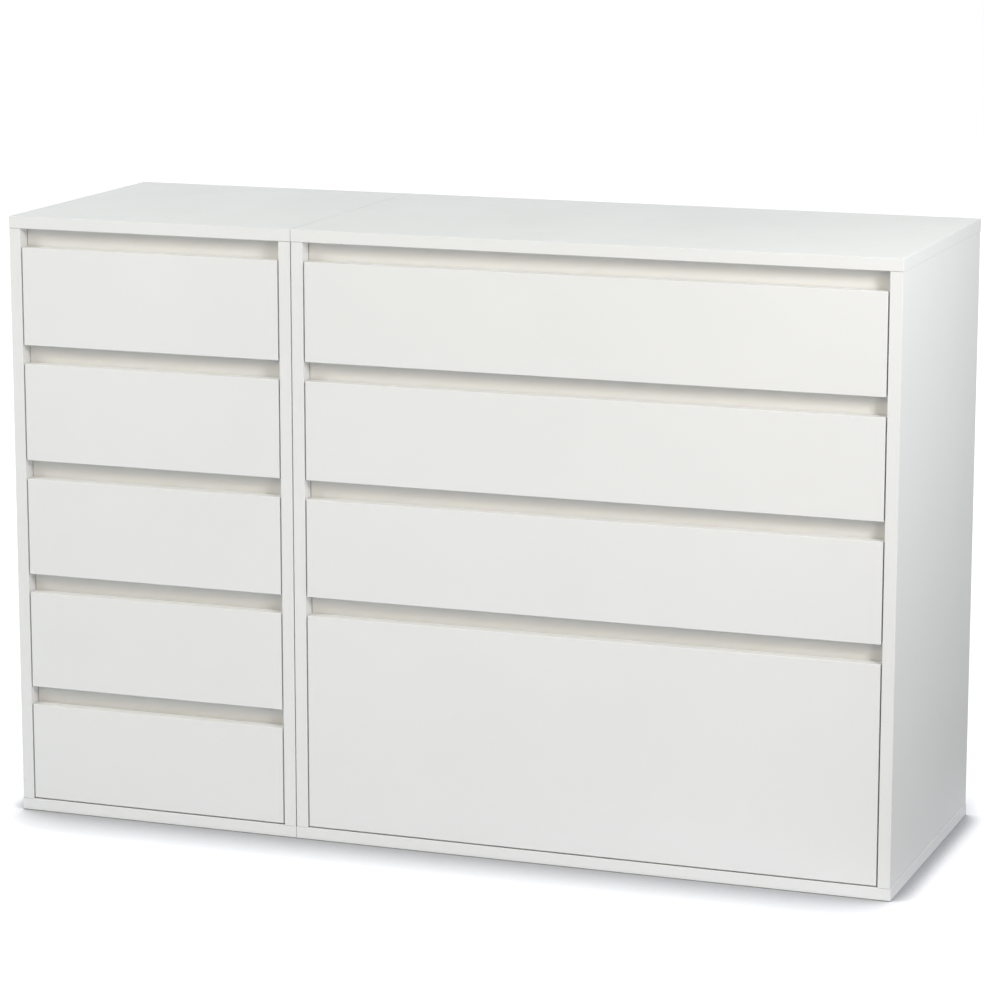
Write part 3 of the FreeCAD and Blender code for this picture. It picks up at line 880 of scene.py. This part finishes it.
WORLD_LEVEL = 0.2               # of the backdrop's light on the object; seen or mirrored it is white
world = bpy.data.worlds.new("studio")
world.use_nodes = True
bpy.context.scene.world = world
sky = world.node_tree
sky.nodes.clear()
WHITE = (1.0, 1.0, 1.0, 1.0)
seen_by = place(sky, "ShaderNodeLightPath").outputs
direct = reckon(sky, "MAXIMUM", seen_by["Is Camera Ray"], seen_by["Is Transmission Ray"])
direct = reckon(sky, "MAXIMUM", direct, seen_by["Is Glossy Ray"])
ambient = place(sky, "ShaderNodeBackground", (("Color", WHITE), ("Strength", WORLD_LEVEL))).outputs[0]
backdrop = place(sky, "ShaderNodeBackground", (("Color", WHITE), ("Strength", 1.0))).outputs[0]
chosen = place(sky, "ShaderNodeMixShader", ((0, direct), (1, ambient), (2, backdrop))).outputs[0]
feed(sky, chosen, place(sky, "ShaderNodeOutputWorld").inputs["Surface"])

FLOOR_REACH = 9.0
FLOOR_COLOUR = (0.54, 0.575, 0.64)      # of the light that the floor sends back to the boards
SEEN_COLOUR = (0.57, 0.575, 0.607)      # of the floor itself, to the eye
GRAIN_SHADE = 0.98                      # of FLOOR_COLOUR, where its faint grain is darkest
WHITE_FROM = 1.0                        # from this far out
WHITE_AT = 3.5                          # to here the floor fades into the white backdrop
FLOOR_LIFT = 0.75                       # light added for the eye only, so that the open floor is white
FOOT_LIFT = 0.035                       # the same right at the cabinets' foot
FRONT_REACH = 0.16                      # width of the soft shadow before and behind the cabinets
SIDE_REACH = 0.060                      # and beside them
FRONT_SHADE = 0.34                      # share of the floor's colour that the eye loses at the foot
SIDE_SHADE = 0.55
FRONT_EASING = 1.0                      # under 1, the shadow is dark at the foot with a long pale rim
SIDE_EASING = 0.5
CORNER_IN = 0.01                        # from this far inside the cabinets' ends
CORNER_OUT = 0.03                       # to this far outside, the one shadow turns into the other
FLOOR_DROP = 0.4 * MM                   # keeps the floor out of the base panels' undersides
CONTACT = 4.0 * MM                      # the floor lets light through to a face that stands on it
SIDE_DIM = 0.95                         # share of its light that the floor on the right doesn't send back
DIM_EDGE = 0.08                         # the loss sets in over this distance beside the cabinets
DIM_FROM = 1.2                          # is whole up to this far out
DIM_TO = 2.4                            # and ends here
MIRRORED = 0.6                          # share of the lift that the finishes mirror


def floor_tree(tree):
    """Shader nodes of a floor that is white to the eye but for a soft shadow, and clear from below."""
    where = place(tree, "ShaderNodeTexCoord").outputs["Object"]
    side = place(tree, "ShaderNodeSeparateXYZ", ((0, where),)).outputs["X"]
    rays = place(tree, "ShaderNodeLightPath").outputs
    seen = reckon(tree, "MULTIPLY_ADD", rays["Is Glossy Ray"], MIRRORED, rays["Is Camera Ray"])
    grain = noise(tree, where, 3.0, detail=3.0)
    colour = tint(tree, grain, FLOOR_COLOUR, tuple(GRAIN_SHADE * part for part in FLOOR_COLOUR))
    colour = tint(tree, seen, colour, SEEN_COLOUR)

    # a soft shadow at the foot, for the eye
    beside = stretch(tree, reckon(tree, "ABSOLUTE", side), cad_high[0] - CORNER_IN, cad_high[0] + CORNER_OUT)
    reach, darkest, easing = (
        stretch(tree, beside, 0.0, 1.0, front, aside, smooth=False)
        for front, aside in ((FRONT_REACH, SIDE_REACH), (FRONT_SHADE, SIDE_SHADE),
                             (FRONT_EASING, SIDE_EASING)))
    open_air = place(tree, "ShaderNodeAmbientOcclusion", (("Distance", reach),), samples=16).outputs["AO"]
    openness = reckon(tree, "POWER", stretch(tree, open_air, 0.5, 1.0, smooth=False), easing)
    shade = reckon(tree, "MULTIPLY", seen, stretch(tree, openness, 0.0, 1.0, darkest, 0.0, smooth=False))

    # less light from the floor on the right, for the boards
    flagged = reckon(tree, "MULTIPLY", stretch(tree, side, cad_high[0], cad_high[0] + DIM_EDGE),
                     stretch(tree, side, DIM_TO, DIM_FROM))
    kept_off = reckon(tree, "MULTIPLY", flagged, reckon(tree, "SUBTRACT", 1.0, seen, clamp=True))
    loss = reckon(tree, "MULTIPLY_ADD", kept_off, SIDE_DIM, shade)
    colour = tint(tree, loss, colour, (0.0, 0.0, 0.0))
    matt = place(tree, "ShaderNodeBsdfDiffuse", (("Color", colour),)).outputs[0]

    # open floor lifted to white, for the eye
    lift = stretch(tree, openness, 0.0, 1.0, FOOT_LIFT, FLOOR_LIFT, smooth=False)
    distance = place(tree, "ShaderNodeVectorMath", ((0, where),), operation="LENGTH").outputs["Value"]
    lift = reckon(tree, "MULTIPLY_ADD", stretch(tree, distance, WHITE_FROM, WHITE_AT), 1.0 - FLOOR_LIFT, lift)
    glow = place(tree, "ShaderNodeEmission", (("Strength", reckon(tree, "MULTIPLY", seen, lift)),)).outputs[0]

    # clear from below, and to a face that stands on it
    lit = place(tree, "ShaderNodeAddShader", ((0, matt), (1, glow))).outputs[0]
    clear = place(tree, "ShaderNodeBsdfTransparent").outputs[0]
    near = reckon(tree, "LESS_THAN", rays["Ray Length"], CONTACT)
    touching = reckon(tree, "MULTIPLY", rays["Is Diffuse Ray"], near)
    below = place(tree, "ShaderNodeNewGeometry").outputs["Backfacing"]
    passed = reckon(tree, "MAXIMUM", below, touching)
    whole = place(tree, "ShaderNodeMixShader", ((0, passed), (1, lit), (2, clear))).outputs[0]
    feed(tree, whole, place(tree, "ShaderNodeOutputMaterial").inputs["Surface"])


def floor():
    """A round pale floor just under the base panels."""
    bm = bmesh.new()
    bmesh.ops.create_circle(bm, cap_ends=True, segments=64, radius=FLOOR_REACH)
    bmesh.ops.translate(bm, vec=(0.0, 0.0, cad_low[2] - FLOOR_DROP), verts=bm.verts)
    mesh = as_mesh(bm, "floor")
    material = bpy.data.materials.new("floor")
    material.use_nodes = True
    material.node_tree.nodes.clear()
    floor_tree(material.node_tree)
    mesh.materials.append(material)
    plane = bpy.data.objects.new("floor", mesh)
    bpy.context.scene.collection.objects.link(plane)


floor()

bpy.context.scene.view_settings.view_transform = "Standard"
